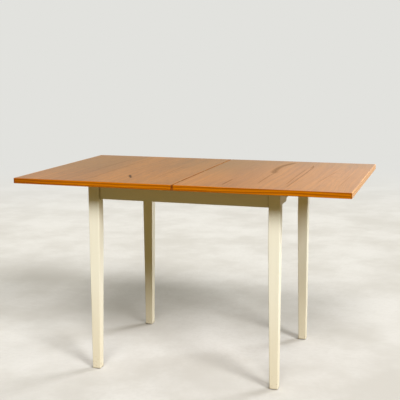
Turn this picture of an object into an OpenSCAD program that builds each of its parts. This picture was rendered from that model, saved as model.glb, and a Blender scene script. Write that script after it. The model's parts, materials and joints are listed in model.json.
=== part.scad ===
// Turn-and-fold dining table: two equal panels hinged at the middle.
// The leaf folds up and over onto the main panel, and the folded top turns a quarter
// turn on its frame. Millimetres. The origin is on the floor under the middle of the
// open top, +X runs along the open top from the main panel to the leaf, +Y to the back.

/* [Top] */
// Height of the table, floor to top surface
table_h = 750; // [690:1:800]
// Length of each panel, from its outer end to the seam
panel_l = 624; // [600:1:680]
// Width of the top, front to back
top_w = 784; // [740:1:900]
// Thickness of each panel
board_t = 20; // [18:0.5:28]
// Thickness of the face veneers
veneer_t = 0.7; // [0.5:0.1:1.5]
// Thickness of the solid wood lippings
lipping_t = 4; // [3:0.5:9]
// Radius of the arrises on the outer edges
edge_round = 1.2; // [0.5:0.1:3]
// Radius of the vertical corners of the top
corner_round = 2; // [1:0.5:4]
// Gap between the two panels at the seam
seam_gap = 0.6; // [0.4:0.1:1.2]
// Radius of the top arrises at the seam, which is also the depth of the hinge pins
seam_round = 3; // [2.5:0.1:4]
// Radius of the vertical corners at the seam
seam_corner_round = 0.4; // [0.2:0.1:1]

/* [Frame] */
// Overhang of the closed, turned top past each end of the frame
closed_overhang_l = 26.5; // [10:0.5:50]
// Overhang of the closed, turned top past the front and back of the frame
closed_overhang_w = 15; // [8:0.5:40]
// Side of the square leg at its top
leg_top = 41; // [38:1:50]
// Side of the leg at the foot
leg_foot = 31; // [24:1:36]
// Height at which the inner faces of the legs start to taper
taper_z = 550; // [400:5:600]
// Width of the chamfers along the leg's edges
leg_arris = 1.5; // [0.8:0.1:3]
// Height of the rails
rail_h = 60; // [50:1:75]
// Thickness of the rails
rail_t = 20; // [18:0.5:22]
// Set-back of the rails from the outer faces of the legs
rail_setback = 11; // [7:0.5:14]
// Length of the cut-out in the lower edge of the end rails
cutout_l = 264; // [200:1:340]
// Height of the cut-out in the lower edge of the end rails
cutout_h = 13; // [8:0.5:16]
// Radius of the rails' lower arrises
rail_arris = 1; // [0.5:0.1:2]

/* [Joinery] */
// Thickness of the tenons
tenon_t = 10; // [8:0.5:12]
// Shoulder above and below each tenon
tenon_shoulder = 9; // [5:0.5:14]
// Wood left between the two mortises of a leg
tenon_wall = 2; // [1:0.5:3]
// Length of a corner block along each rail, past the leg
block_reach = 50; // [40:1:70]
// Height of the corner blocks
block_h = 34; // [26:1:36]
// Distance of the corner blocks below the top of the frame
block_drop = 5; // [2:0.5:8]
// Diameter of the corner block screws
block_screw_d = 5; // [4:0.5:6]
// Distance between the two screws of a corner block
block_screw_pitch = 16; // [12:1:20]
// Distance of those screws' points from the ends of the mortises
block_screw_gap = 4; // [3.5:0.5:6]

/* [Pivot] */
// Width of the pivot board along the table
pivot_board_w = 150; // [140:1:180]
// Thickness of the pivot board
pivot_board_t = 18; // [15:0.5:22]
// Side of the cleats that carry the pivot board
cleat_side = 22; // [18:1:26]
// Distance of the screws down into the cleats from the board's edges
board_screw_inset = 20; // [15:1:25]
// Distance of the screws into the rails from the cleats' ends
cleat_screw_inset = 45; // [35:1:55]
// Diameter of the screws through the board and the cleats
frame_screw_d = 4.5; // [4:0.5:5]
// Wood left beyond the points of those screws
point_cover = 7; // [5:0.5:10]
// Diameter of the pivot bolt
bolt_d = 12; // [10:0.5:14]
// Diameter of the pivot bolt's flat head
bolt_head_d = 26; // [22:1:32]
// Height of the pivot bolt's flat head
bolt_head_h = 3.5; // [2.5:0.5:5]
// Outer diameter of the bush barrel
bush_d = 18; // [17:0.5:22]
// Diameter of the bush flange that the pivot plate turns on
flange_d = 44; // [36:1:60]
// Thickness of the bush flange
flange_t = 1.5; // [1:0.1:3]
// Side of the square pivot plate
plate_side = 116; // [112:1:126]
// Thickness of the pivot plate
plate_t = 3; // [2.5:0.5:5]
// Radius of the plate's corners
plate_round = 8; // [3:1:12]
// Distance of the plate screws from the plate's edges
plate_screw_inset = 12; // [10:1:14]
// Diameter of the plate screws
plate_screw_d = 4.5; // [4:0.5:5]
// Length of the plate screws
plate_screw_l = 16; // [14:0.5:18]
// Diameter of the washer under the pivot board
washer_d = 36; // [28:1:50]
// Thickness of the washer under the pivot board
washer_t = 2; // [1.5:0.5:3]
// Width of the lock nut across its flats
nut_af = 19; // [18:0.5:24]
// Height of the lock nut
nut_h = 12; // [9:0.5:14]
// Bolt thread that shows below the lock nut
bolt_end = 3; // [2:0.5:6]
// Width of the chamfer at the bolt's end
bolt_chamfer = 1; // [0.5:0.1:1.5]
// Diameter of the stop pin that limits the turn to a quarter
stop_pin_d = 6; // [5:0.5:8]
// Distance of the stop pin from the pivot
stop_r = 45; // [38:1:52]
// Length of the stop pin that shows below the pivot board
stop_pin_end = 2; // [1:0.5:5]

/* [Hinges] */
// Distance of the outer hinges from the front and back edges
hinge_inset = 100; // [60:1:160]
// Depth of the hinge blocks into the panel
block_depth = 18; // [15:0.5:24]
// Length of the hinge blocks along the seam
block_len = 34; // [30:1:44]
// Thickness of the foot of a hinge block
block_foot_t = 8; // [7:0.5:9]
// Wood left over the foot of a hinge block
block_cover = 7; // [7:0.5:8]
// Length of the knuckle along the seam
knuckle_len = 14; // [12:0.5:18]
// Metal left behind the slots that the links turn in
slot_wall = 1; // [0.8:0.1:2]
// Thickness of the links
link_t = 4; // [3:0.5:5]
// Diameter of the hinge pins
hinge_pin_d = 2.4; // [2:0.1:2.8]
// Diameter of the hinge screws
hinge_screw_d = 3; // [2.5:0.5:3.5]
// Length of the hinge screws
hinge_screw_l = 26; // [24:1:34]
// Depth of the hinge screws' heads below the face of the block
hinge_screw_sink = 0.4; // [0.2:0.1:1]

/* [Small parts] */
// Thickness of the glide pads on top of the frame
pad_t = 2; // [1.5:0.5:3]
// Diameter of the glide pads on top of the frame
pad_d = 17; // [12:1:18]
// Diameter of the foot glides
glide_d = 22; // [18:1:24]
// Thickness of the foot glides
glide_t = 3; // [2:0.5:5]
// Diameter of the foot glides' nails
nail_d = 2.5; // [2:0.5:3.5]
// Length of the foot glides' nails
nail_l = 14; // [10:1:20]

/* [Hidden] */
$fn = 64;

// Clearances
fit = 0.03;         // snug, pieces that stay together
running = 0.05;     // radial, between a pin or bolt and what turns on it
clear = 0.3;        // between faces of bodies that move past each other
stop_clear = 0.5;   // round the stop pin in its slot
over = 1;           // how far a cut runs past the face it opens
touch = 0.01;       // how far joined shapes run into each other
sharp = 0.01;       // radius of a corner that isn't rounded

// Heights, from the floor up
under_z = table_h - board_t;
frame_z = under_z - clear - pad_t;
rail_z = frame_z - rail_h;
board_z = under_z - plate_t - clear - flange_t;
board_low_z = board_z - pivot_board_t;
block_z = frame_z - block_drop - block_h;
washer_z = board_low_z - clear;

// Frame, in plan: the closed top, a quarter turn round, covers it
half_l = top_w / 2 - closed_overhang_l;
half_w = panel_l / 2 - closed_overhang_w;
rail_in = rail_setback + rail_t;
tenon_out = rail_setback + (rail_t + tenon_t) / 2;
tenon_l = leg_top - tenon_out - tenon_wall;

// Turning the folded top a quarter turn about this point brings it over the frame
pivot_x = -panel_l / 4;
pivot_y = panel_l / 4;
stop_a = 135;
plate_hole = plate_side / 2 - plate_screw_inset;
slot_w = stop_pin_d + 2 * stop_clear;

// Hinges: each pin lies at the centre of its rounded arris
face_x = seam_gap / 2;
pin_x = face_x + seam_round;
pin_z = table_h - seam_round;
link_r = seam_round - clear;
slot_back = pin_x + link_r + clear;
slot_low = pin_z - link_r - clear;
knuckle_back = slot_back + slot_wall;
foot_top_z = table_h - block_cover;
foot_low_z = foot_top_z - block_foot_t;
hinge_y = [-1, 0, 1] * (top_w / 2 - hinge_inset);
hinge_screw_y = (block_len + knuckle_len) / 4;

// Screws, with their proportions in diameters
head_ratio = 2;
recess_reach = 0.55;
recess_half = 0.12;
recess_deep = 0.4;
screw_tip = 0.5;
board_screw_x = pivot_board_w / 2 - board_screw_inset;
board_screw_l = pivot_board_t + cleat_side - point_cover;
cleat_screw_x = pivot_board_w / 2 - cleat_screw_inset;
cleat_screw_l = cleat_side + rail_t - point_cover;
block_screw_bite = (tenon_l - block_screw_gap) * sqrt(2);

// Colours
paint = [0.89, 0.86, 0.76];
teak = [0.72, 0.44, 0.24];
teak_edge = [0.70, 0.40, 0.14];
core_wood = [0.80, 0.68, 0.48];
beech = [0.82, 0.66, 0.46];
brass = [0.72, 0.58, 0.30];
zinc = [0.70, 0.71, 0.72];
nylon = [0.90, 0.90, 0.86];
felt = [0.28, 0.25, 0.22];
dark_plastic = [0.16, 0.14, 0.12];

// ---------- Shared shapes ----------

// Box between two corners
module box(low, high) {
    translate(low)
        cube(high - low);
}

// What a rounding of radius r takes off a corner at the origin, inside the first quadrant
module corner_bite(r) {
    difference() {
        translate([-over, -over])
            square(r + over);
        translate([r, r])
            circle(r);
    }
}

// Rectangle with its own radius at each corner, in the order low-left, low-right,
// high-right, high-left
module rounded_section(low, high, radii) {
    corners = [low, [high[0], low[1]], high, [low[0], high[1]]];
    difference() {
        translate(low)
            square(high - low);
        for (i = [0:3])
            translate(corners[i])
                rotate(90 * i)
                    corner_bite(radii[i]);
    }
}

// Lays a drawing of X and Z upright and makes it run from y0 to y1
module run_y(y0, y1) {
    translate([0, y1, 0])
        rotate([90, 0, 0])
            linear_extrude(y1 - y0)
                children();
}

// Lays a drawing of Y and Z upright and makes it run from x0 to x1
module run_x(x0, x1) {
    translate([x0, 0, 0])
        rotate([90, 0, 90])
            linear_extrude(x1 - x0)
                children();
}

// Body of a countersunk screw, its head's face at the origin and its point down
module screw_body(d, l, grow) {
    head_d = head_ratio * d;
    head_h = (head_d - d) / 2;
    translate([0, 0, -head_h])
        cylinder(h = head_h, d1 = d + 2 * grow, d2 = head_d + 2 * grow);
    translate([0, 0, -l + d])
        cylinder(h = l - d - head_h + touch, d = d + 2 * grow);
    translate([0, 0, -l - grow])
        cylinder(h = d + grow + touch, d1 = screw_tip, d2 = d + 2 * grow);
}

// Countersunk wood screw with a cross recess
module wood_screw(d, l) {
    difference() {
        screw_body(d, l, 0);
        for (a = [0, 90])
            rotate(a)
                translate([-recess_reach * d, -recess_half * d, -recess_deep * d])
                    cube([2 * recess_reach * d, 2 * recess_half * d, d]);
    }
}

// Hole for that screw, open above its head
module screw_hole(d, l) {
    screw_body(d, l, fit);
    cylinder(h = over, d = head_ratio * d + 2 * fit);
}

// ---------- Legs ----------

// Leg with its outer corner at the origin, growing along +X and +Y. The two outer
// faces are plumb and the two inner ones taper to the foot.
module leg_solid() {
    side = [
        [0, glide_t], [leg_foot, glide_t], [leg_top, taper_z],
        [leg_top, frame_z], [0, frame_z]
    ];
    near = leg_arris / sqrt(2);
    far_top = (2 * leg_top - leg_arris) / sqrt(2);
    far_foot = (2 * leg_foot - leg_arris) / sqrt(2);
    across_top = (leg_top - leg_arris) / sqrt(2);
    across_foot = (leg_foot - leg_arris) / sqrt(2);
    along_diagonal = [
        [near, glide_t], [far_foot, glide_t], [far_top, taper_z],
        [far_top, frame_z], [near, frame_z]
    ];
    across_diagonal = [
        [-across_foot, glide_t], [across_foot, glide_t], [across_top, taper_z],
        [across_top, frame_z], [-across_top, frame_z], [-across_top, taper_z]
    ];
    intersection() {
        run_y(0, leg_top)
            polygon(side);
        run_x(0, leg_top)
            polygon(side);
        rotate(45)
            run_y(-leg_top, leg_top)
                polygon(along_diagonal);
        rotate(45)
            run_x(0, 2 * leg_top)
                polygon(across_diagonal);
    }
}

// Mortises for both tenons and the holes for the glide's nail and the block's screws
module leg_cuts() {
    low = rail_z + tenon_shoulder - fit;
    high = frame_z - tenon_shoulder + fit;
    in0 = tenon_out - tenon_t - fit;
    in1 = tenon_out + fit;
    deep = leg_top - tenon_l - fit;
    box([deep, in0, low], [leg_top + over, in1, high]);
    box([in0, deep, low], [in1, leg_top + over, high]);
    corner_screws_at()
        screw_hole(block_screw_d, corner_screw_l());
    translate([leg_foot / 2, leg_foot / 2, glide_t])
        cylinder(h = nail_l + fit, d = nail_d + 2 * fit);
}

// Puts its children at one corner of the frame; sx and sy are the corner's signs
module at_corner(sx, sy) {
    mirror([sx > 0 ? 1 : 0, 0, 0])
        mirror([0, sy > 0 ? 1 : 0, 0])
            translate([-half_l, -half_w, 0])
                children();
}

module leg(sx, sy) {
    color(paint)
        at_corner(sx, sy)
            difference() {
                leg_solid();
                leg_cuts();
            }
}

module leg_front_left() {
    leg(-1, -1);
}

module leg_front_right() {
    leg(1, -1);
}

module leg_back_left() {
    leg(-1, 1);
}

module leg_back_right() {
    leg(1, 1);
}

// ---------- Rails ----------

// Tenons at both ends of a rail that runs along X from -reach to reach
module tenons(reach) {
    for (s = [-1, 1])
        box(
            [s < 0 ? -reach - tenon_l : reach - over,
                tenon_out - tenon_t, rail_z + tenon_shoulder],
            [s < 0 ? -reach + over : reach + tenon_l,
                tenon_out, frame_z - tenon_shoulder]
        );
}

// Radii of a rail's arrises: only the two lower ones are rounded
rail_radii = [rail_arris, rail_arris, sharp, sharp];

// Long rail between two legs, its outer face rail_setback behind the origin
module long_rail() {
    reach = half_l - leg_top;
    run_x(-reach, reach)
        rounded_section([rail_setback, rail_z], [rail_in, frame_z], rail_radii);
    tenons(reach);
}

// Lower edge of an end rail: a shallow cut-out with an ogee shoulder at each end
module cutout_section() {
    r = cutout_h / 2;
    half = cutout_l / 2;
    // middle of the cut-out, over its full height
    translate([-half + r, rail_z - over])
        square([cutout_l - 2 * r, cutout_h + over]);
    for (s = [0, 1])
        mirror([s, 0]) {
            // lower half of the shoulder, rounded outwards
            difference() {
                translate([half - r, rail_z - over])
                    square([2 * r, r + over]);
                translate([half + r, rail_z + r])
                    circle(r);
            }
            // upper half of the shoulder, hollowed
            intersection() {
                translate([half - r, rail_z + r])
                    circle(r);
                translate([half - r, rail_z + r])
                    square(r);
            }
        }
}

// End rail, drawn along X as the long rail is
module end_rail() {
    reach = half_w - leg_top;
    difference() {
        run_x(-reach, reach)
            rounded_section([rail_setback, rail_z], [rail_in, frame_z], rail_radii);
        run_y(rail_setback - over, rail_in + over)
            cutout_section();
    }
    tenons(reach);
}

module rail_front() {
    color(paint)
        difference() {
            translate([0, -half_w, 0])
                long_rail();
            cleat_screws_cut(0);
        }
}

module rail_back() {
    color(paint)
        difference() {
            translate([0, half_w, 0])
                rotate(180)
                    long_rail();
            cleat_screws_cut(1);
        }
}

module rail_left() {
    color(paint)
        translate([-half_l, 0, 0])
            rotate(-90)
                end_rail();
}

module rail_right() {
    color(paint)
        translate([half_l, 0, 0])
            rotate(90)
                end_rail();
}

// ---------- Corner blocks ----------

// Length of a corner block screw, from the block's long face into the leg
function corner_screw_l() =
    (rail_in + block_reach - leg_top) / sqrt(2) + block_screw_bite;

// Puts its children at the two screw places of a corner block, the screw's way down -Z
module corner_screws_at() {
    middle = (rail_in + leg_top + block_reach) / 2;
    for (s = [-1, 1])
        translate([middle, middle, block_z + block_h / 2 + s * block_screw_pitch / 2])
            rotate([0, 0, 45])
                rotate([0, 90, 0])
                    children();
}

// Block glued into the corner and notched round the leg
module corner_block_solid() {
    outline = [
        [leg_top, rail_in], [leg_top + block_reach, rail_in],
        [rail_in, leg_top + block_reach], [rail_in, leg_top], [leg_top, leg_top]
    ];
    difference() {
        translate([0, 0, block_z])
            linear_extrude(block_h)
                polygon(outline);
        corner_screws_at()
            screw_hole(block_screw_d, corner_screw_l());
    }
}

module corner_block(sx, sy) {
    color(beech)
        at_corner(sx, sy)
            corner_block_solid();
}

module corner_block_front_left() {
    corner_block(-1, -1);
}

module corner_block_front_right() {
    corner_block(1, -1);
}

module corner_block_back_left() {
    corner_block(-1, 1);
}

module corner_block_back_right() {
    corner_block(1, 1);
}

module corner_block_screws() {
    color(zinc)
        for (sx = [-1, 1])
            for (sy = [-1, 1])
                at_corner(sx, sy)
                    corner_screws_at()
                        wood_screw(block_screw_d, corner_screw_l());
}

// ---------- Pivot board and what carries it ----------

// Quarter-turn slot for the stop pin, in plan round the pivot
module stop_slot() {
    rotate(stop_a)
        intersection() {
            difference() {
                circle(stop_r + slot_w / 2);
                circle(stop_r - slot_w / 2);
            }
            square(stop_r + slot_w);
        }
    for (a = [0, 90])
        rotate(stop_a + a)
            translate([stop_r, 0])
                circle(slot_w / 2);
}

// Places of the screws from the pivot board down into a cleat; back is 0 or 1
module board_screws_at(back) {
    y = half_w - rail_in - cleat_side / 2;
    for (s = [-1, 1])
        translate([pivot_x + s * board_screw_x, (back ? 1 : -1) * y, board_z])
            children();
}

// Places of the screws through a cleat into its rail; back is 0 or 1
module cleat_screws_at(back) {
    y = half_w - rail_in - cleat_side;
    for (s = [-1, 1])
        translate([
            pivot_x + s * cleat_screw_x, (back ? 1 : -1) * y, board_low_z - cleat_side / 2
        ])
            rotate([back ? 90 : -90, 0, 0])
                children();
}

module cleat_screws_cut(back) {
    cleat_screws_at(back)
        screw_hole(frame_screw_d, cleat_screw_l);
}

module pivot_board() {
    reach = half_w - rail_in;
    color(beech)
        difference() {
            box(
                [pivot_x - pivot_board_w / 2, -reach, board_low_z],
                [pivot_x + pivot_board_w / 2, reach, board_z]
            );
            translate([pivot_x, pivot_y, board_low_z - over]) {
                cylinder(h = pivot_board_t + 2 * over, d = bush_d + 2 * fit);
                linear_extrude(pivot_board_t + 2 * over)
                    stop_slot();
            }
            for (back = [0, 1])
                board_screws_at(back)
                    screw_hole(frame_screw_d, board_screw_l);
        }
}

module board_cleat(back) {
    reach = half_w - rail_in;
    y0 = back ? reach - cleat_side : -reach;
    color(beech)
        difference() {
            box(
                [pivot_x - pivot_board_w / 2, y0, board_low_z - cleat_side],
                [pivot_x + pivot_board_w / 2, y0 + cleat_side, board_low_z]
            );
            board_screws_at(back)
                screw_hole(frame_screw_d, board_screw_l);
            cleat_screws_cut(back);
        }
}

module board_cleat_front() {
    board_cleat(0);
}

module board_cleat_back() {
    board_cleat(1);
}

module board_screws() {
    color(zinc)
        for (back = [0, 1])
            board_screws_at(back)
                wood_screw(frame_screw_d, board_screw_l);
}

module cleat_screws() {
    color(zinc)
        for (back = [0, 1])
            cleat_screws_at(back)
                wood_screw(frame_screw_d, cleat_screw_l);
}

module pivot_bush() {
    color(nylon)
        translate([pivot_x, pivot_y, 0])
            difference() {
                union() {
                    translate([0, 0, board_low_z])
                        cylinder(h = pivot_board_t + touch, d = bush_d);
                    translate([0, 0, board_z])
                        cylinder(h = flange_t, d = flange_d);
                }
                translate([0, 0, board_low_z - over])
                    cylinder(h = pivot_board_t + flange_t + 2 * over, d = bolt_d + 2 * running);
            }
}

// ---------- Pads and feet ----------

module glide_pads() {
    leg_mid = leg_top / 2;
    rail_mid = rail_setback + rail_t / 2;
    places = [
        for (sx = [-1, 1])
            for (sy = [-1, 1])
                [sx * (half_l - leg_mid), sy * (half_w - leg_mid)],
        for (s = [-1, 1])
            [0, s * (half_w - rail_mid)],
        for (s = [-1, 1])
            [s * (half_l - rail_mid), 0]
    ];
    color(felt)
        for (p = places)
            translate([p[0], p[1], frame_z])
                cylinder(h = pad_t, d = pad_d);
}

module foot_glides() {
    color(dark_plastic)
        for (sx = [-1, 1])
            for (sy = [-1, 1])
                at_corner(sx, sy)
                    translate([leg_foot / 2, leg_foot / 2, 0]) {
                        cylinder(h = glide_t / 2, d1 = glide_d - glide_t, d2 = glide_d);
                        translate([0, 0, glide_t / 2])
                            cylinder(h = glide_t / 2, d = glide_d);
                        cylinder(h = glide_t + nail_l, d = nail_d);
                    }
}

// ---------- Panels, drawn as the main panel; the leaf is its mirror image ----------

// Outside of a whole panel, with all its arrises rounded
module panel_outside() {
    half = top_w / 2;
    low = [-panel_l, under_z];
    high = [-face_x, table_h];
    intersection() {
        run_y(-half, half)
            rounded_section(low, high, [edge_round, edge_round, seam_round, edge_round]);
        run_x(-panel_l, -face_x)
            rounded_section([-half, under_z], [half, table_h], edge_round * [1, 1, 1, 1]);
        translate([0, 0, under_z])
            linear_extrude(board_t)
                rounded_section(
                    [-panel_l, -half], [-face_x, half],
                    [corner_round, seam_corner_round, seam_corner_round, corner_round]
                );
    }
}

// Puts its children at each of the three hinges
module at_hinges() {
    for (y = hinge_y)
        translate([0, y, 0])
            children();
}

// Room for one hinge block with its screws, cut out of the panel's pieces
module hinge_pocket() {
    foot = block_len / 2 + fit;
    knuckle = knuckle_len / 2 + fit;
    box(
        [-face_x - block_depth - fit, -foot, foot_low_z - fit],
        [over, foot, foot_top_z + fit]
    );
    box([-knuckle_back - fit, -knuckle, foot_top_z - over], [over, knuckle, table_h + over]);
    hinge_screws_at()
        screw_hole(hinge_screw_d, hinge_screw_l);
}

// The two screws of one hinge block, driven in from the seam
module hinge_screws_at() {
    for (s = [-1, 1])
        translate([
            -face_x - hinge_screw_sink, s * hinge_screw_y, (foot_top_z + foot_low_z) / 2
        ])
            rotate([0, 90, 0])
                children();
}

// Recess in the main panel's underside for the bolt's head and the plate's screws
module pivot_recess() {
    translate([pivot_x, pivot_y, under_z - over])
        cylinder(h = over + bolt_head_h + fit, d = bolt_head_d + 2 * fit);
    plate_screws_at()
        screw_hole(plate_screw_d, plate_screw_l);
}

module panel_core() {
    half = top_w / 2;
    difference() {
        box(
            [-panel_l + lipping_t, -half + lipping_t, under_z + veneer_t],
            [-face_x - lipping_t, half - lipping_t, table_h - veneer_t]
        );
        at_hinges()
            hinge_pocket();
    }
}

// Face veneer between the lippings, its lower face at z
module panel_veneer(z) {
    half = top_w / 2;
    difference() {
        box(
            [-panel_l + lipping_t, -half + lipping_t, z],
            [-face_x - lipping_t, half - lipping_t, z + veneer_t]
        );
        at_hinges()
            hinge_pocket();
    }
}

// Lipping along the outer end, which runs through to the front and back
module panel_lipping_end() {
    intersection() {
        panel_outside();
        box(
            [-panel_l - over, -top_w, under_z - over],
            [-panel_l + lipping_t, top_w, table_h + over]
        );
    }
}

// Lipping along the seam, which runs through and carries the hinges
module panel_lipping_seam() {
    difference() {
        intersection() {
            panel_outside();
            box([-face_x - lipping_t, -top_w, under_z - over], [over, top_w, table_h + over]);
        }
        at_hinges()
            hinge_pocket();
    }
}

// Lipping along the front edge, between the two that run through
module panel_lipping_front() {
    half = top_w / 2;
    intersection() {
        panel_outside();
        box(
            [-panel_l + lipping_t, -half - over, under_z - over],
            [-face_x - lipping_t, -half + lipping_t, table_h + over]
        );
    }
}

module panel_lipping_back() {
    mirror([0, 1, 0])
        panel_lipping_front();
}

// Hinge block: a foot let into the panel's edge and a slotted knuckle that holds the pin
module hinge_block() {
    difference() {
        union() {
            box(
                [-face_x - block_depth, -block_len / 2, foot_low_z],
                [-face_x, block_len / 2, foot_top_z]
            );
            run_y(-knuckle_len / 2, knuckle_len / 2) {
                translate([-knuckle_back, foot_top_z - touch])
                    square([knuckle_back - pin_x, table_h - foot_top_z + touch]);
                translate([-pin_x - touch, foot_top_z - touch])
                    square([pin_x - face_x + touch, pin_z - foot_top_z + touch]);
                translate([-pin_x, pin_z])
                    circle(seam_round);
            }
        }
        box(
            [-slot_back, -link_t / 2 - clear / 2, slot_low],
            [over, link_t / 2 + clear / 2, table_h + over]
        );
        translate([-pin_x, block_len, pin_z])
            rotate([90, 0, 0])
                cylinder(h = 2 * block_len, d = hinge_pin_d + 2 * fit);
        hinge_screws_at()
            screw_hole(hinge_screw_d, hinge_screw_l);
    }
}

module hinge_pin() {
    translate([-pin_x, knuckle_len / 2, pin_z])
        rotate([90, 0, 0])
            cylinder(h = knuckle_len, d = hinge_pin_d);
}

// Shows its children as the leaf's
module on_leaf() {
    mirror([1, 0, 0])
        children();
}

// ---------- Main panel ----------

module main_core() {
    color(core_wood)
        difference() {
            panel_core();
            pivot_recess();
        }
}

module main_veneer_top() {
    color(teak)
        panel_veneer(table_h - veneer_t);
}

module main_veneer_under() {
    color(teak)
        difference() {
            panel_veneer(under_z);
            pivot_recess();
        }
}

module main_lipping_end() {
    color(teak_edge)
        panel_lipping_end();
}

module main_lipping_seam() {
    color(teak_edge)
        panel_lipping_seam();
}

module main_lipping_front() {
    color(teak_edge)
        panel_lipping_front();
}

module main_lipping_back() {
    color(teak_edge)
        panel_lipping_back();
}

// Places of the screws up through the pivot plate
module plate_screws_at() {
    for (sx = [-1, 1])
        for (sy = [-1, 1])
            translate([
                pivot_x + sx * plate_hole, pivot_y + sy * plate_hole, under_z - plate_t
            ])
                rotate([180, 0, 0])
                    children();
}

// Place of the stop pin's axis
module at_stop_pin() {
    translate([pivot_x, pivot_y, 0])
        rotate(stop_a)
            translate([stop_r, 0, 0])
                children();
}

module pivot_plate() {
    color(zinc)
        difference() {
            translate([pivot_x, pivot_y, under_z - plate_t])
                linear_extrude(plate_t)
                    rounded_section(
                        -plate_side / 2 * [1, 1], plate_side / 2 * [1, 1],
                        plate_round * [1, 1, 1, 1]
                    );
            translate([pivot_x, pivot_y, under_z - plate_t - over])
                cylinder(h = plate_t + 2 * over, d = bolt_d + 2 * fit);
            at_stop_pin()
                translate([0, 0, under_z - plate_t - over])
                    cylinder(h = plate_t + 2 * over, d = stop_pin_d + 2 * fit);
            plate_screws_at()
                screw_hole(plate_screw_d, plate_screw_l);
        }
}

module plate_screws() {
    color(zinc)
        plate_screws_at()
            wood_screw(plate_screw_d, plate_screw_l);
}

module stop_pin() {
    low_z = board_low_z - stop_pin_end;
    color(zinc)
        at_stop_pin()
            translate([0, 0, low_z])
                cylinder(h = under_z - low_z, d = stop_pin_d);
}

module pivot_bolt() {
    low_z = washer_z - washer_t - nut_h - bolt_end;
    color(zinc)
        translate([pivot_x, pivot_y, 0]) {
            translate([0, 0, under_z])
                cylinder(h = bolt_head_h, d = bolt_head_d);
            translate([0, 0, low_z + bolt_chamfer])
                cylinder(h = under_z - low_z - bolt_chamfer + touch, d = bolt_d);
            translate([0, 0, low_z])
                cylinder(h = bolt_chamfer, d1 = bolt_d - 2 * bolt_chamfer, d2 = bolt_d);
        }
}

module pivot_washer() {
    color(zinc)
        translate([pivot_x, pivot_y, washer_z - washer_t])
            difference() {
                cylinder(h = washer_t, d = washer_d);
                translate([0, 0, -over])
                    cylinder(h = washer_t + 2 * over, d = bolt_d + 2 * running);
            }
}

module pivot_nut() {
    color(zinc)
        translate([pivot_x, pivot_y, washer_z - washer_t - nut_h])
            difference() {
                intersection() {
                    cylinder(h = nut_h, d = nut_af / cos(30), $fn = 6);
                    cylinder(h = nut_h, d1 = nut_af, d2 = nut_af + 2 * nut_h);
                }
                translate([0, 0, -over])
                    cylinder(h = nut_h + 2 * over, d = bolt_d + 2 * fit);
            }
}

module hinge_blocks_main() {
    color(brass)
        at_hinges()
            hinge_block();
}

module hinge_pins_main() {
    color(brass)
        at_hinges()
            hinge_pin();
}

module hinge_screws_main() {
    color(brass)
        at_hinges()
            hinge_screws_at()
                wood_screw(hinge_screw_d, hinge_screw_l);
}

// ---------- Links ----------

module hinge_links() {
    color(brass)
        at_hinges()
            difference() {
                run_y(-link_t / 2, link_t / 2) {
                    for (s = [-1, 1])
                        translate([s * pin_x, pin_z])
                            circle(link_r);
                    translate([-pin_x, pin_z - link_r])
                        square([2 * pin_x, 2 * link_r]);
                }
                for (s = [-1, 1])
                    translate([s * pin_x, link_t, pin_z])
                        rotate([90, 0, 0])
                            cylinder(h = 2 * link_t, d = hinge_pin_d + 2 * running);
            }
}

// ---------- Leaf ----------

module leaf_core() {
    color(core_wood)
        on_leaf()
            panel_core();
}

module leaf_veneer_top() {
    color(teak)
        on_leaf()
            panel_veneer(table_h - veneer_t);
}

module leaf_veneer_under() {
    color(teak)
        on_leaf()
            panel_veneer(under_z);
}

module leaf_lipping_end() {
    color(teak_edge)
        on_leaf()
            panel_lipping_end();
}

module leaf_lipping_seam() {
    color(teak_edge)
        on_leaf()
            panel_lipping_seam();
}

module leaf_lipping_front() {
    color(teak_edge)
        on_leaf()
            panel_lipping_front();
}

module leaf_lipping_back() {
    color(teak_edge)
        on_leaf()
            panel_lipping_back();
}

module hinge_blocks_leaf() {
    color(brass)
        on_leaf()
            at_hinges()
                hinge_block();
}

module hinge_pins_leaf() {
    color(brass)
        on_leaf()
            at_hinges()
                hinge_pin();
}

module hinge_screws_leaf() {
    color(brass)
        on_leaf()
            at_hinges()
                hinge_screws_at()
                    wood_screw(hinge_screw_d, hinge_screw_l);
}

leg_front_left();
leg_front_right();
leg_back_left();
leg_back_right();
rail_front();
rail_back();
rail_left();
rail_right();
corner_block_front_left();
corner_block_front_right();
corner_block_back_left();
corner_block_back_right();
corner_block_screws();
pivot_board();
board_cleat_front();
board_cleat_back();
cleat_screws();
board_screws();
pivot_bush();
glide_pads();
foot_glides();
main_core();
main_veneer_top();
main_veneer_under();
main_lipping_end();
main_lipping_seam();
main_lipping_front();
main_lipping_back();
pivot_plate();
pivot_bolt();
plate_screws();
stop_pin();
pivot_washer();
pivot_nut();
hinge_blocks_main();
hinge_pins_main();
hinge_screws_main();
hinge_links();
leaf_core();
leaf_veneer_top();
leaf_veneer_under();
leaf_lipping_end();
leaf_lipping_seam();
leaf_lipping_front();
leaf_lipping_back();
hinge_blocks_leaf();
hinge_pins_leaf();
hinge_screws_leaf();
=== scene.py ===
"""Looks of the turn-and-fold table: materials, floor, light and camera round the frame."""
import json
import math

import bpy
from mathutils import Matrix, Vector


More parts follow.
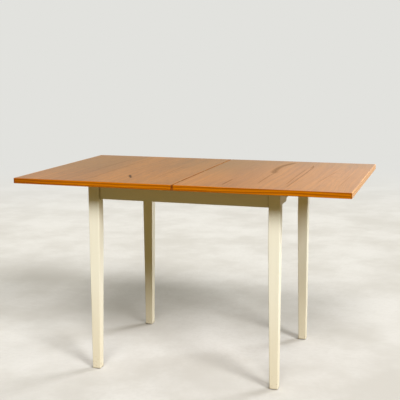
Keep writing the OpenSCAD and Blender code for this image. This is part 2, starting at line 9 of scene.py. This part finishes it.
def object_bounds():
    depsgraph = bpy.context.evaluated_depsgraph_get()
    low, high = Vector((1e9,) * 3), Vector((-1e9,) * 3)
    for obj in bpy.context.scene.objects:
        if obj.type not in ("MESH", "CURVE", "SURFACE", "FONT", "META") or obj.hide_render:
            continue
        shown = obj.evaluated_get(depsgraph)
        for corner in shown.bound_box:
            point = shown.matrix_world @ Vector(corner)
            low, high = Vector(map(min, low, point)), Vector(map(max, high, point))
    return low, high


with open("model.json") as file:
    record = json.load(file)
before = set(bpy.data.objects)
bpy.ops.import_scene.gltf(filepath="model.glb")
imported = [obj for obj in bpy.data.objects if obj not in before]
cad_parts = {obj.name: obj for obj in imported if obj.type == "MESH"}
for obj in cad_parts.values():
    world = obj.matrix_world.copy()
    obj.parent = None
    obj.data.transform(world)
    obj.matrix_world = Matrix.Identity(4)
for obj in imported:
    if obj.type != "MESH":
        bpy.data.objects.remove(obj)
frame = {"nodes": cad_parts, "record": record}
cad_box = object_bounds()


# ---------- Sizes and axes ----------

MM = 0.001
X, Y, Z = 0, 1, 2
TABLE_H = cad_box[1].z


# ---------- Colours ----------

def linear(red, green, blue):
    """Screen colour, 0 to 255, as a linear colour with alpha."""
    def channel(value):
        value /= 255
        return value / 12.92 if value <= 0.04045 else ((value + 0.055) / 1.055) ** 2.4
    return (channel(red), channel(green), channel(blue), 1.0)


# ---------- Shader graphs ----------

# Where a Mix node keeps its two colours and its mixed colour
MIX_FIRST, MIX_SECOND, MIX_RESULT = 6, 7, 2


class Graph:
    """A node tree under construction. Values and sockets mix freely as inputs."""

    def __init__(self, tree):
        self.tree = tree
        self.tree.nodes.clear()

    def put(self, node, socket, value):
        """Sets or links one input."""
        target = node.inputs[socket]
        if isinstance(value, bpy.types.NodeSocket):
            self.tree.links.new(value, target)
        else:
            target.default_value = value

    def add(self, kind, inputs=None, **settings):
        """Adds one node with its settings and inputs."""
        node = self.tree.nodes.new(kind)
        for name, value in settings.items():
            setattr(node, name, value)
        for name, value in (inputs or {}).items():
            self.put(node, name, value)
        return node

    def math(self, operation, *values, clamp=False):
        """One Math node. clamp keeps its result between 0 and 1."""
        inputs = dict(enumerate(values))
        node = self.add("ShaderNodeMath", inputs, operation=operation, use_clamp=clamp)
        return node.outputs[0]

    def plus(self, a, b, clamp=False):
        return self.math("ADD", a, b, clamp=clamp)

    def times(self, a, b, clamp=False):
        return self.math("MULTIPLY", a, b, clamp=clamp)

    def square(self, a):
        return self.times(a, a)

    def length(self, a, b):
        return self.math("SQRT", self.plus(self.square(a), self.square(b)))

    def off(self, value, middle):
        """How far value is from middle, on either side."""
        return self.math("ABSOLUTE", self.math("SUBTRACT", value, middle))

    def fade(self, value, start, end, low=0.0, high=1.0):
        """Goes smoothly from low to high as value goes from start to end."""
        inputs = {
            "Value": value, "From Min": start, "From Max": end, "To Min": low, "To Max": high
        }
        node = self.add("ShaderNodeMapRange", inputs, interpolation_type="SMOOTHSTEP")
        return node.outputs["Result"]

    def mix(self, share, a, b):
        """Colour a, with that share of colour b."""
        inputs = {"Factor": share, MIX_FIRST: a, MIX_SECOND: b}
        return self.add("ShaderNodeMix", inputs, data_type="RGBA").outputs[MIX_RESULT]

    def seen_or_mirrored(self):
        """1 for rays from the camera and for mirrored ones, 0 for light that surfaces scatter."""
        path = self.add("ShaderNodeLightPath").outputs
        return self.math("MAXIMUM", path["Is Camera Ray"], path["Is Glossy Ray"])


class Shader(Graph):
    """A material under construction, with one principled shader."""

    def __init__(self, name, **fixed):
        self.material = bpy.data.materials.new(name)
        self.material.use_nodes = True
        super().__init__(self.material.node_tree)
        self.surface = self.add("ShaderNodeBsdfPrincipled")
        self.output = self.add("ShaderNodeOutputMaterial")
        self.put(self.output, "Surface", self.surface.outputs["BSDF"])
        for socket, value in fixed.items():
            self.put(self.surface, socket.replace("_", " "), value)

    def place(self):
        """Position on the piece, in metres, as three values."""
        coordinates = self.add("ShaderNodeTexCoord").outputs["Object"]
        return self.add("ShaderNodeSeparateXYZ", {0: coordinates}).outputs[:]

    def point(self, x, y, z):
        return self.add("ShaderNodeCombineXYZ", {0: x, 1: y, 2: z}).outputs[0]

    def noise(self, vector, scale, detail=2.0, roughness=0.5):
        """Noise about 0.5, with scale lumps to the metre. roughness is that of its detail."""
        inputs = {"Vector": vector, "Scale": scale, "Detail": detail, "Roughness": roughness}
        return self.add("ShaderNodeTexNoise", inputs).outputs["Fac"]

    def facing(self, axis):
        """How far the surface faces along axis, whichever way, 0 to 1."""
        normal = self.add("ShaderNodeTexCoord").outputs["Normal"]
        part = self.add("ShaderNodeSeparateXYZ", {0: normal}).outputs[axis]
        return self.math("ABSOLUTE", part)

    def edges(self, radius):
        """1 on the arrises, 0 on the flats, from how a rounded normal leaves the true one."""
        rounded = self.add("ShaderNodeBevel", {"Radius": radius}, samples=6).outputs[0]
        true = self.add("ShaderNodeNewGeometry").outputs["True Normal"]
        inputs = {0: rounded, 1: true}
        cosine = self.add("ShaderNodeVectorMath", inputs, operation="DOT_PRODUCT")
        return self.fade(cosine.outputs["Value"], 0.995, 0.86)

    def corners(self, reach):
        """Mask for painted shade: 1 deep in the inner corners where pieces meet, 0 in the open."""
        node = self.add("ShaderNodeAmbientOcclusion", {"Distance": reach}, samples=8)
        return self.fade(node.outputs["AO"], 0.85, 0.45)

    def finish(self, colour, roughness, height, depth, soften=0.6 * MM):
        """Sets or links what may vary over the surface. height is bumped by depth metres, and
        the arrises catch light as if they were rounded by soften metres."""
        self.put(self.surface, "Base Color", colour)
        self.put(self.surface, "Roughness", roughness)
        rounded = self.add("ShaderNodeBevel", {"Radius": soften}, samples=4).outputs[0]
        inputs = {"Height": height, "Distance": depth, "Strength": 1.0, "Normal": rounded}
        self.put(self.surface, "Normal", self.add("ShaderNodeBump", inputs).outputs[0])
        return self.material


# ---------- Teak ----------

# Pairs are a wood's light and darker colour
TEAK_LEAF = (linear(190, 122, 24), linear(157, 96, 12))
TEAK_MAIN = (linear(180, 116, 26), linear(138, 87, 14))
TEAK_DARK = linear(116, 66, 8)
TEAK_STREAK = linear(44, 36, 26)
TEAK_VEIN = linear(88, 54, 16)
TEAK_OLIVE = linear(130, 96, 32)
EDGE_GOLD = (linear(224, 136, 2), linear(200, 110, 0))
# The end lippings' woods: paler than EDGE_GOLD as painted light, for the right end that the light
# falls on
EDGE_PALE_LIT = (linear(236, 164, 10), linear(214, 137, 6))
EDGE_DARK = linear(116, 48, 0)
# Dark grime in the seam together with painted shade, where the gap lies in shadow
GRIME_AND_SHADE = linear(62, 54, 32)

VENEER_RING = 7.0 * MM
LIPPING_RING = 10.0 * MM
LIPPING_THIN_RING = 3.7 * MM
# Brings the rings' dark ends to the heights at which the photo's front edge has them
RING_PHASE = 0.234
# How far the grain strays from straight in a veneer and in a lipping
VENEER_STRAYS = 70 * MM
LIPPING_STRAYS = 26 * MM
# How far the veneers were cut from the heart of the tree, and how much that ripples
HEART_BELOW = 70 * MM
HEART_RIPPLE = 10 * MM

# How far a streak wanders, and how wide it is at its ends
STREAK_WANDER = 4 * MM
STREAK_LEAST = 0.2 * MM
# Distances from a line where it starts to show and is full: the joint between two leaves of
# veneer, and the grime and painted shade in the seam, which go down by its depth
JOINT_LINE = (0.7 * MM, 0.2 * MM)
SEAM_GRIME_AND_SHADE = (4.4 * MM, 1.8 * MM)
SEAM_GRIME_AND_SHADE_DEPTH = 20 * MM
# Places along X between which the lippings darken towards the left end
EDGE_DARKENS = (-0.32, -0.62)


def pores(s, along, across, third):
    """Short dark pores that run with the grain."""
    stretched = s.point(s.times(along, 0.035), across, third)
    return s.fade(s.noise(stretched, 1400.0, 1.0), 0.62, 0.74)


def fibres(s, along, across, third):
    """Fine streaks along the grain, which lie about 0."""
    stretched = s.point(s.times(along, 0.02), across, third)
    return s.math("SUBTRACT", s.noise(stretched, 420.0, 4.0, 0.65), 0.5)


def rings(s, radius, pitch, power=3.0):
    """Growth rings: 0 in the early wood, rising to 1 at the ring's dark end."""
    phase = s.math("FRACT", s.math("DIVIDE", radius, pitch))
    rise = s.math("POWER", phase, power)
    return s.times(rise, s.fade(phase, 1.0, 0.9))


def streak(s, x, y, line):
    """How much of a dark streak along the grain shows, 0 to 1. It lies at X line["at"] and runs
    along Y between line["ends"], where it dies out, with line["core"] of it at full width. It
    may slope, and bends by line["bend"] on the near and on the far side of line["about"]."""
    low, high = line["ends"]
    middle, half = (low + high) / 2, (high - low) / 2
    from_vertex = s.plus(y, -line.get("about", middle))
    near, far = line.get("bend", (0.0, 0.0))
    amount = s.plus(s.times(s.math("GREATER_THAN", from_vertex, 0.0), far - near), near)
    bend = s.times(s.square(from_vertex), amount)
    slant = s.times(s.plus(y, -middle), line.get("slope", 0.0))
    random = s.noise(s.point(y, line["seed"], 0.0), 14.0, 2.0)
    wander = s.times(s.plus(random, -0.5), STREAK_WANDER)
    aside = s.off(x, s.plus(s.plus(bend, slant), s.plus(wander, line["at"])))
    window = s.fade(s.off(y, middle), half, half * line["core"])
    width = s.plus(s.times(window, line["width"]), STREAK_LEAST)
    inside = s.fade(s.math("DIVIDE", aside, width), 1.0, 0.1)
    strand = s.noise(s.point(s.times(y, 0.03), aside, line["seed"]), 600.0, 3.0)
    share = s.times(s.times(inside, window), s.fade(strand, 0.28, 0.56, 0.45, 1.1))
    return s.times(share, line["strength"], clamp=True)


def teak_veneer(name, look, seed, streaks=(), shades=()):
    """Flat-sawn face veneer with its grain along Y, in two leaves, one either side of
    look["joint"], whose figures have their middles at look["hearts"]. look["flecks"] is how
    dark its short flecks are, and shades are broad olive places that fade along X and Y, partly
    the wood's own colour and partly painted reflection."""
    s = Shader(name, Specular_IOR_Level=0.45)
    x, y, z = s.place()
    wander = s.noise(s.point(s.times(y, 0.8), s.times(x, 2.0), seed), 2.2, 2.0, 0.5)
    across = s.plus(x, s.times(s.plus(wander, -0.5), VENEER_STRAYS))
    beyond = s.math("GREATER_THAN", x, look["joint"])
    first_heart, second_heart = look["hearts"]
    heart = s.plus(s.times(beyond, second_heart - first_heart), first_heart)
    beside = s.math("SUBTRACT", across, heart)
    ripple = s.noise(s.point(s.times(y, 2.0), s.times(x, 6.0), seed + 3), 2.0, 2.0)
    rippled = s.plus(HEART_BELOW, s.times(s.plus(ripple, -0.5), HEART_RIPPLE))
    below = s.plus(s.times(y, 0.06), rippled)
    ring = rings(s, s.length(beside, below), VENEER_RING)
    fine = fibres(s, y, across, z)
    band = s.noise(s.point(s.times(y, 0.012), across, seed + 5), 75.0, 3.0, 0.6)
    broad = s.noise(s.point(s.times(y, 0.25), across, seed + 7), 8.0, 2.0)
    pore = pores(s, y, x, z)
    fleck = s.fade(s.noise(s.point(s.times(y, 0.07), across, seed + 9), 280.0, 2.0), 0.56, 0.66)
    tone = s.plus(s.times(fine, 0.8), s.times(s.plus(band, -0.5), 2.2))
    tone = s.plus(tone, s.plus(s.times(s.plus(broad, -0.5), 1.2), s.times(beyond, -0.22)))
    colour = s.mix(s.plus(tone, 0.55, clamp=True), *look["woods"])
    # Shades: partly the veneer's own olive colour, partly painted reflection
    for shade in shades:
        place = s.times(s.fade(x, *shade["x"]), s.fade(y, *shade["y"]))
        colour = s.mix(s.times(place, shade["strength"]), colour, TEAK_OLIVE)
    joint = s.fade(s.off(x, look["joint"]), *JOINT_LINE)
    colour = s.mix(s.times(ring, 0.24), colour, TEAK_DARK)
    colour = s.mix(s.times(pore, 0.30), colour, TEAK_DARK)
    colour = s.mix(s.times(fleck, look["flecks"]), colour, TEAK_VEIN)
    colour = s.mix(s.times(joint, 0.35), colour, TEAK_DARK)
    dull = s.times(pore, 0.12)
    for line in streaks:
        share = streak(s, x, y, line)
        colour = s.mix(share, colour, line.get("colour", TEAK_VEIN))
        dull = s.plus(dull, s.times(share, 0.35))
    rough = s.plus(s.times(fine, 0.16), s.plus(0.35, dull))
    height = s.plus(s.times(fine, 0.5), s.times(pore, -1.0))
    return s.finish(colour, rough, height, 0.05 * MM)


# Lippings by side: the axis of their grain, their woods, gloss, and how dark the growth rings,
# the thin ones between and the pores are. Those along X are rubbed duller.
RUBBED = {"axis": X, "woods": EDGE_GOLD, "gloss": 0.08, "ring": 0.90, "thin": 0.35, "pore": 0.30}
FRESH = {"axis": Y, "woods": EDGE_GOLD, "gloss": 0.62, "ring": 0.45, "thin": 0.15, "pore": 0.15}
# The ends take the paler woods, painted light for the lit right end
LIPPINGS = {"end": {**FRESH, "woods": EDGE_PALE_LIT}, "seam": FRESH, "front": RUBBED, "back": RUBBED}


def teak_solid(name, look, seed):
    """Solid lipping, darker on its end grain, and darker down in the seam with grime and painted
    shade.
    """
    s = Shader(name, Specular_IOR_Level=look["gloss"])
    axis = look["axis"]
    place = s.place()
    along, side, up = place[axis], place[X if axis == Y else Y], place[Z]
    wander = s.noise(s.point(s.times(along, 1.3), s.times(up, 3.0), seed), 1.6, 3.0)
    bent = s.plus(up, s.times(s.plus(wander, -0.5), LIPPING_STRAYS))
    level = s.plus(bent, RING_PHASE - TABLE_H)
    ring = rings(s, s.plus(s.times(side, 0.15), level), LIPPING_RING, 1.5)
    thin = rings(s, level, LIPPING_THIN_RING, 2.5)
    fine = fibres(s, along, bent, side)
    pore = pores(s, along, up, side)
    colour = s.mix(s.plus(s.times(fine, 2.2), 0.5, clamp=True), *look["woods"])
    for share, figure in (("ring", ring), ("thin", thin), ("pore", pore)):
        colour = s.mix(s.times(figure, look[share]), colour, EDGE_DARK)
    colour = s.mix(s.fade(place[X], *EDGE_DARKENS, 0.0, 0.40), colour, EDGE_DARK)
    # Grime and painted shade: darker down in the seam, where the gap lies in shadow
    near_top = s.fade(up, TABLE_H - SEAM_GRIME_AND_SHADE_DEPTH, TABLE_H)
    grime_and_shade = s.times(s.fade(s.math("ABSOLUTE", place[X]), *SEAM_GRIME_AND_SHADE), near_top)
    colour = s.mix(s.times(grime_and_shade, 0.76), colour, GRIME_AND_SHADE)
    end = s.fade(s.facing(axis), 0.6, 0.9)
    colour = s.mix(s.times(end, 0.8), colour, EDGE_DARK)
    dull = s.plus(s.times(end, 0.3), s.times(grime_and_shade, 0.7))
    rough = s.plus(s.times(fine, 0.2), s.plus(0.28, dull))
    return s.finish(colour, rough, s.plus(fine, s.times(pore, -1.0)), 0.03 * MM, 2.2 * MM)


# ---------- Painted, plain and hidden woods ----------

PAINT = linear(246, 243, 228)
PAINT_WARM = linear(240, 234, 212)
PAINT_AGED = linear(225, 212, 184)
PAINT_WORN = linear(186, 160, 116)
# Colour of the painted shade in the inner corners
PAINT_CORNER_SHADE = linear(156, 136, 88)

BEECH = (linear(222, 184, 138), linear(196, 150, 104))
CORE = (linear(206, 172, 124), linear(170, 128, 84))
CORE_GLUE = linear(120, 84, 52)
CORE_PLY = 3.1 * MM

# How far wear reaches in from an arris, and painted shade out of an inner corner
ARRIS_REACH = 1.4 * MM
CORNER_REACH = 14 * MM
# Heights between which scuffs and age come in towards the feet
SCUFFED = (0.09, 0.01)
AGED = (0.50, 0.0)


def stretched_along(s, place, axis, share):
    """The same place with one axis shortened, so that a pattern is drawn out along it."""
    return s.point(*[s.times(v, share if i == axis else 1.0) for i, v in enumerate(place)])


def painted_wood(name, axis, cloud_scale):
    """Brushed satin paint whose strokes run along axis, a little thin on the arrises,
    darker with age towards the feet, and with painted shade in the inner corners."""
    s = Shader(name, Specular_IOR_Level=0.12)
    place = s.place()
    here = s.point(*place)
    stroke = s.noise(stretched_along(s, place, axis, 0.03), 520.0, 3.0, 0.6)
    cloud = s.noise(here, cloud_scale, 3.0)
    arris = s.edges(ARRIS_REACH)
    worn = s.times(arris, s.fade(s.noise(here, 160.0, 4.0, 0.7), 0.60, 0.74))
    knocked = s.fade(s.noise(here, 95.0, 5.0, 0.75), 0.56, 0.68)
    scuff = s.times(knocked, s.fade(place[Z], *SCUFFED))
    colour = s.mix(s.times(cloud, 0.5), PAINT, PAINT_WARM)
    colour = s.mix(s.fade(place[Z], *AGED, 0.0, 0.6), colour, PAINT_AGED)
    colour = s.mix(s.times(arris, 0.22), colour, PAINT_WARM)
    colour = s.mix(s.times(worn, 0.4), colour, PAINT_WORN)
    colour = s.mix(s.times(scuff, 0.6), colour, PAINT_WORN)
    # Painted shade: the inner corners darken where pieces meet, as if shadowed
    colour = s.mix(s.times(s.corners(CORNER_REACH), 0.8), colour, PAINT_CORNER_SHADE)
    rough = s.plus(s.times(stroke, 0.14), s.plus(0.38, s.times(scuff, 0.2)))
    return s.finish(colour, rough, stroke, 0.05 * MM, 1.2 * MM)


def beech(name, axis, grain_scale):
    """Unfinished beech with straight grain along axis."""
    s = Shader(name, Specular_IOR_Level=0.3)
    drawn_out = stretched_along(s, s.place(), axis, 0.04)
    grain = s.noise(drawn_out, grain_scale, 4.0, 0.6)
    fleck = s.fade(s.noise(drawn_out, 1500.0, 1.0), 0.6, 0.7)
    colour = s.mix(s.times(fleck, 0.4), s.mix(grain, *BEECH), BEECH[1])
    return s.finish(colour, s.plus(s.times(grain, 0.2), 0.55), grain, 0.1 * MM)


def board_core(name):
    """Blockboard core, of which only the pockets' walls show."""
    s = Shader(name, Specular_IOR_Level=0.2)
    x, y, z = s.place()
    ply = s.math("FRACT", s.math("DIVIDE", s.plus(z, 0.4 * MM), CORE_PLY))
    glue = s.fade(s.off(ply, 0.5), 0.30, 0.42)
    grain = s.noise(s.point(s.times(x, 0.1), y, z), 700.0, 3.0)
    colour = s.mix(s.times(glue, 0.5), s.mix(grain, *CORE), CORE_GLUE)
    return s.finish(colour, 0.75, grain, 0.1 * MM)


# ---------- Metals, plastics and felt ----------

def metal(name, bright, dull, rough, patch_scale):
    """Metal with a fine grain, patches of tarnish and arrises rubbed bright."""
    s = Shader(name, Metallic=1.0)
    here = s.point(*s.place())
    patch = s.noise(here, patch_scale, 5.0, 0.65)
    fine = s.noise(here, 900.0, 2.0)
    colour = s.mix(s.fade(patch, 0.42, 0.66), bright, dull)
    colour = s.mix(s.times(s.edges(0.5 * MM), 0.4), colour, bright)
    roughness = s.plus(s.times(patch, 0.22), s.plus(s.times(fine, 0.08), rough))
    return s.finish(colour, roughness, fine, 0.02 * MM, 0.3 * MM)


def plastic(name, base, mark, rough):
    """Moulded plastic, faintly scuffed."""
    s = Shader(name, Specular_IOR_Level=0.45)
    here = s.point(*s.place())
    colour = s.mix(s.fade(s.noise(here, 90.0, 3.0), 0.4, 0.75), base, mark)
    grain = s.noise(here, 1800.0, 2.0)
    return s.finish(colour, s.plus(s.times(grain, 0.1), rough), grain, 0.02 * MM, 0.4 * MM)


def felt(name, base, fibre):
    """Pressed felt with loose fibres."""
    s = Shader(name, Sheen_Weight=0.5, Sheen_Roughness=0.5, Specular_IOR_Level=0.1)
    tuft = s.noise(s.point(*s.place()), 1300.0, 5.0, 0.7)
    colour = s.mix(s.fade(tuft, 0.35, 0.7), base, fibre)
    return s.finish(colour, 0.95, tuft, 0.3 * MM)


# ---------- Where the photo's veneer has its streaks and shades ----------

# What a streak's values mean stands at streak(). A shade grows from nothing at the first place
# to its strength at the second, along X and along Y.
LEAF_STREAKS = [
    {"at": 0.2615, "about": 0.165, "bend": (0.55, 1.1), "ends": (-0.03, 0.37), "core": 0.7,
     "width": 18.0 * MM, "strength": 0.5, "seed": 1.3, "colour": TEAK_STREAK},
    {"at": 0.276, "about": -0.12, "bend": (0.1, 0.1), "ends": (-0.31, 0.03), "core": 0.6,
     "width": 2.8 * MM, "strength": 0.6, "seed": 4.1},
    {"at": 0.394, "about": 0.17, "bend": (0.0, -1.0), "ends": (-0.36, 0.31), "core": 0.8,
     "width": 3.6 * MM, "strength": 0.42, "seed": 7.7},
    {"at": 0.387, "ends": (0.17, 0.27), "core": 0.5, "width": 4.0 * MM, "strength": 0.4,
     "seed": 1.9},
    {"at": 0.3755, "about": 0.0, "bend": (0.05, 0.0), "ends": (-0.33, 0.20), "core": 0.6,
     "width": 3.6 * MM, "strength": 0.42, "seed": 2.9},
    {"at": 0.490, "slope": 0.08, "ends": (-0.27, 0.20), "core": 0.4, "width": 2.4 * MM,
     "strength": 0.35, "seed": 5.2},
    {"at": 0.166, "ends": (-0.36, -0.17), "core": 0.4, "width": 5.0 * MM, "strength": 0.6,
     "seed": 8.4},
    {"at": 0.566, "slope": 0.03, "ends": (-0.33, 0.06), "core": 0.4, "width": 2.0 * MM,
     "strength": 0.28, "seed": 9.1},
]
# The leaf's shades are partly the veneer's own olive colour and partly painted reflection
LEAF_SHADES = [
    {"x": (0.36, 0.02), "y": (-0.30, 0.25), "strength": 0.68},
    {"x": (0.04, 0.26), "y": (0.10, 0.38), "strength": 0.42},
]
MAIN_STREAKS = [
    {"at": -0.222, "slope": -0.45, "ends": (-0.278, -0.182), "core": 0.4, "width": 9.5 * MM,
     "strength": 0.92, "seed": 3.3, "colour": TEAK_STREAK},
    {"at": -0.352, "about": 0.1, "bend": (0.03, 0.03), "ends": (-0.38, 0.38), "core": 0.7,
     "width": 2.2 * MM, "strength": 0.38, "seed": 6.1},
    {"at": -0.425, "slope": 0.03, "ends": (-0.20, 0.36), "core": 0.4, "width": 3.0 * MM,
     "strength": 0.34, "seed": 6.6},
    {"at": -0.118, "slope": -0.02, "ends": (-0.35, 0.20), "core": 0.4, "width": 2.0 * MM,
     "strength": 0.30, "seed": 9.5},
]
# The main panel's shades are partly the veneer's own olive colour and partly painted reflection
MAIN_SHADES = [
    {"x": (-0.40, -0.10), "y": (-0.20, 0.25), "strength": 0.45},
    {"x": (-0.20, -0.50), "y": (-0.30, 0.05), "strength": 0.5},
]
MAIN_VENEER = {"woods": TEAK_MAIN, "flecks": 0.45, "joint": -0.352, "hearts": (-0.50, -0.17)}
LEAF_VENEER = {"woods": TEAK_LEAF, "flecks": 0.1, "joint": 0.394, "hearts": (0.17, 0.50)}


# ---------- Which material each node takes ----------

def materials_by_node():
    """Material of every CAD node, by the node's name. No two teak materials share a seed."""
    made = {
        "main_veneer_top": teak_veneer(
            "teak_main_top", MAIN_VENEER, 11.0, MAIN_STREAKS, MAIN_SHADES
        ),
        "leaf_veneer_top": teak_veneer(
            "teak_leaf_top", LEAF_VENEER, 23.0, LEAF_STREAKS, LEAF_SHADES
        ),
        "main_veneer_under": teak_veneer("teak_main_under", MAIN_VENEER, 37.0),
        "leaf_veneer_under": teak_veneer("teak_leaf_under", LEAF_VENEER, 41.0),
    }
    for number, panel in enumerate(("main", "leaf")):
        for place, (side, look) in enumerate(LIPPINGS.items()):
            name = f"{panel}_lipping_{side}"
            made[name] = teak_solid(f"teak_{name}", look, 3.7 * place + 19.0 * number)
    by_slot = {
        "paint": painted_wood("paint_legs", Z, 7.0),
        "beech": beech("beech_blocks", X, 263.0),
        "core_board": board_core("blockboard"),
        "zinc_steel": metal("zinc_plate", linear(196, 198, 200), linear(150, 152, 154), 0.28, 62.0),
        "brass": metal("aged_brass", linear(206, 170, 96), linear(132, 100, 52), 0.26, 65.0),
        "nylon": plastic("nylon", linear(228, 226, 216), linear(206, 202, 190), 0.45),
        "glide_plastic": plastic("glide_plastic", linear(46, 40, 36), linear(72, 64, 58), 0.5),
        "felt": felt("felt", linear(58, 52, 48), linear(98, 90, 84)),
    }
    made["rail_front"] = made["rail_back"] = painted_wood("paint_long_rails", X, 7.4)
    made["rail_left"] = made["rail_right"] = painted_wood("paint_end_rails", Y, 7.8)
    made["pivot_board"] = beech("beech_board", Y, 269.0)
    for row in frame["record"]["subparts"]:
        if row["node"] not in made:
            made[row["node"]] = by_slot[row["material_slot"]]
    return made


def dress():
    """Gives every CAD node its material."""
    for name, material in materials_by_node().items():
        node = frame["nodes"][name]
        node.data.materials.clear()
        node.data.materials.append(material)


# ---------- Floor, light and camera ----------

WALL = linear(226, 226, 222)
MIRRORED_WALL = linear(232, 230, 226)
FLOOR_PALE = linear(223, 221, 217)
FLOOR_GREY = linear(207, 204, 198)
# Colour in which the floor lights the table from below, and of the light from all round
FLOOR_BOUNCE = (0.202, 0.152, 0.044, 1.0)
FILL = (1.0, 0.88, 0.50, 1.0)
FILL_STRENGTH = 0.16

FLOOR_REACH = 60.0
# Distances from the table between which the floor fades into the wall's colour
FLOOR_FADES = (2.2, 6.5)


def make_floor():
    """Wide pale floor, plain concrete, which fades into the backdrop some metres away."""
    mesh = bpy.data.meshes.new("floor")
    signs = ((-1, -1), (1, -1), (1, 1), (-1, 1))
    corners = [(FLOOR_REACH * x, FLOOR_REACH * y, 0) for x, y in signs]
    mesh.from_pydata(corners, [], [(0, 1, 2, 3)])
    floor = bpy.data.objects.new("floor", mesh)
    bpy.context.scene.collection.objects.link(floor)
    s = Shader("floor", Specular_IOR_Level=0.1)
    x, y, z = s.place()
    here = s.point(x, y, z)
    cloud = s.noise(here, 1.9, 6.0, 0.62)
    grit = s.noise(here, 60.0, 4.0, 0.65)
    colour = s.mix(s.fade(cloud, 0.35, 0.65), FLOOR_PALE, FLOOR_GREY)
    colour = s.mix(s.times(s.fade(grit, 0.4, 0.75), 0.3), colour, FLOOR_GREY)
    seen = s.seen_or_mirrored()
    mesh.materials.append(s.finish(s.mix(seen, FLOOR_BOUNCE, colour), 0.9, grit, 0.4 * MM))
    far = s.times(s.fade(s.length(x, y), *FLOOR_FADES), seen)
    glow = s.add("ShaderNodeEmission", {"Color": WALL, "Strength": 1.0}).outputs[0]
    inputs = {0: far, 1: s.surface.outputs["BSDF"], 2: glow}
    s.put(s.output, "Surface", s.add("ShaderNodeMixShader", inputs).outputs[0])


def make_world():
    """Weak warm fill. Seen directly it's a pale wall, and in reflections one that is brightest
    on the right, a little brighter again on the left, and dimmer in front of the table."""
    world = bpy.data.worlds.new("studio")
    bpy.context.scene.world = world
    world.use_nodes = True
    w = Graph(world.node_tree)
    aim = w.add("ShaderNodeTexCoord").outputs["Generated"]
    aim_x, aim_y, _ = w.add("ShaderNodeSeparateXYZ", {0: aim}).outputs
    right = w.fade(aim_x, -0.32, 0.0, 0.66, 1.65)
    left = w.fade(aim_x, -0.36, -0.50, 0.0, 0.25)
    back = w.fade(aim_y, -0.6, 0.6, 0.45, 1.0)
    level = w.times(w.plus(right, left), back)

    path = w.add("ShaderNodeLightPath").outputs

    def background(colour, strength):
        inputs = {"Color": colour, "Strength": strength}
        return w.add("ShaderNodeBackground", inputs).outputs[0]

    def choose(ray, otherwise, chosen):
        inputs = {0: path[ray], 1: otherwise, 2: chosen}
        return w.add("ShaderNodeMixShader", inputs).outputs[0]

    fill = background(FILL, FILL_STRENGTH)
    unseen = choose("Is Glossy Ray", fill, background(MIRRORED_WALL, level))
    all_rays = choose("Is Camera Ray", unseen, background(WALL, 1.0))
    w.add("ShaderNodeOutputWorld", {"Surface": all_rays})


# Name, direction from the table to the light, strength, spread in degrees and colour
SUNS = [
    ("key", (1.45, -1.1, 1.14), 2.45, 20, (1.0, 1.0, 1.0)),
    ("front", (0.25, -1.0, 1.07), 1.7, 24, (1.0, 0.99, 0.98)),
    ("wall", (0.65, 0.76, 0.38), 2.3, 24, (0.97, 1.0, 1.04)),
]


def add_sun(name, towards, strength, spread, colour):
    """Distant soft light, which reflections don't show."""
    data = bpy.data.lights.new(name, "SUN")
    data.energy = strength
    data.angle = math.radians(spread)
    data.color = colour
    light = bpy.data.objects.new(name, data)
    light.rotation_euler = Vector(towards).to_track_quat("Z", "Y").to_euler()
    light.visible_glossy = False
    bpy.context.scene.collection.objects.link(light)


# The camera stands in front and to the right of the table, a little above the top. Its angles
# are in radians and its lens and sensor in millimetres.
CAMERA_PLACE = Vector((0.938, -3.0164, 1.1725))
CAMERA_YAW = -0.3078
CAMERA_PITCH = 0.1692
CAMERA_ROLL = -0.0034
CAMERA_LENS = 72.7
CAMERA_SENSOR = 36.0


def make_camera():
    """Camera at the photo's viewing angle."""
    data = bpy.data.cameras.new("camera")
    data.lens = CAMERA_LENS
    data.sensor_width = CAMERA_SENSOR
    camera = bpy.data.objects.new("camera", data)
    level = Vector((math.sin(CAMERA_YAW), math.cos(CAMERA_YAW), 0.0))
    ahead = level * math.cos(CAMERA_PITCH) - Vector((0, 0, math.sin(CAMERA_PITCH)))
    right = Vector((math.cos(CAMERA_YAW), -math.sin(CAMERA_YAW), 0.0))
    up = right.cross(ahead)
    cosine, sine = math.cos(CAMERA_ROLL), math.sin(CAMERA_ROLL)
    rolled_right = right * cosine + up * sine
    rolled_up = up * cosine - right * sine
    turn = Matrix((rolled_right, rolled_up, -ahead)).transposed()
    camera.matrix_world = Matrix.Translation(CAMERA_PLACE) @ turn.to_4x4()
    bpy.context.scene.collection.objects.link(camera)
    bpy.context.scene.camera = camera


dress()
make_floor()
make_world()
for sun in SUNS:
    add_sun(*sun)
make_camera()
bpy.context.scene.view_settings.view_transform = "Standard"
